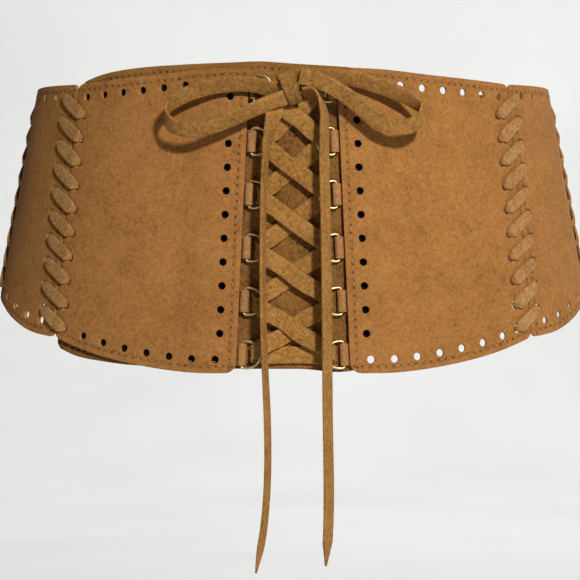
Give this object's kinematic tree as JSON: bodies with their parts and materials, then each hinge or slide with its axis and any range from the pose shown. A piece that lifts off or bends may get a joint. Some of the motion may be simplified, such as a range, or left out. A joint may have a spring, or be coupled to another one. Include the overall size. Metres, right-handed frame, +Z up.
{
  "type": "corset belt",
  "caption": "Wide suede waist belt of panels whipped together with lace, closed at the front by a flat lace crossed through D-rings and tied in a bow.",
  "frame": {"origin": "on the axis of the waist, at half the height of the front", "axes": "+Z is up, the laced front faces -Y, +X is to the right seen from the front"},
  "size_m": [0.2852, 0.2059, 0.2327],
  "materials": {
    "suede": "tan brown suede, matt and napped",
    "lace": "flat suede lace, a little lighter and yellower than the panels, matt",
    "brass": "antique brass wire, worn bright on its outside"
  },
  "bodies": {
    "root": {"front_panel_left": "suede", "side_panel_left": "suede", "front_panel_right": "suede", "side_panel_right": "suede", "back_panel": "suede", "under_panel": "suede", "whip_lace_front_left": "lace", "whip_lace_back_left": "lace", "whip_lace_front_right": "lace", "whip_lace_back_right": "lace", "ring_tab_left_1": "suede", "d_ring_left_1": "brass", "ring_tab_left_2": "suede", "d_ring_left_2": "brass", "ring_tab_left_3": "suede", "d_ring_left_3": "brass", "ring_tab_left_4": "suede", "d_ring_left_4": "brass", "ring_tab_left_5": "suede", "d_ring_left_5": "brass", "ring_tab_left_6": "suede", "d_ring_left_6": "brass", "ring_tab_right_1": "suede", "d_ring_right_1": "brass", "ring_tab_right_2": "suede", "d_ring_right_2": "brass", "ring_tab_right_3": "suede", "d_ring_right_3": "brass", "ring_tab_right_4": "suede", "d_ring_right_4": "brass", "ring_tab_right_5": "suede", "d_ring_right_5": "brass", "ring_tab_right_6": "suede", "d_ring_right_6": "brass", "front_lace": "lace", "bow_knot": "lace", "bow_loop_left": "lace", "bow_loop_right": "lace", "lace_end_left": "lace", "lace_end_right": "lace"}
  },
  "joints": []
}
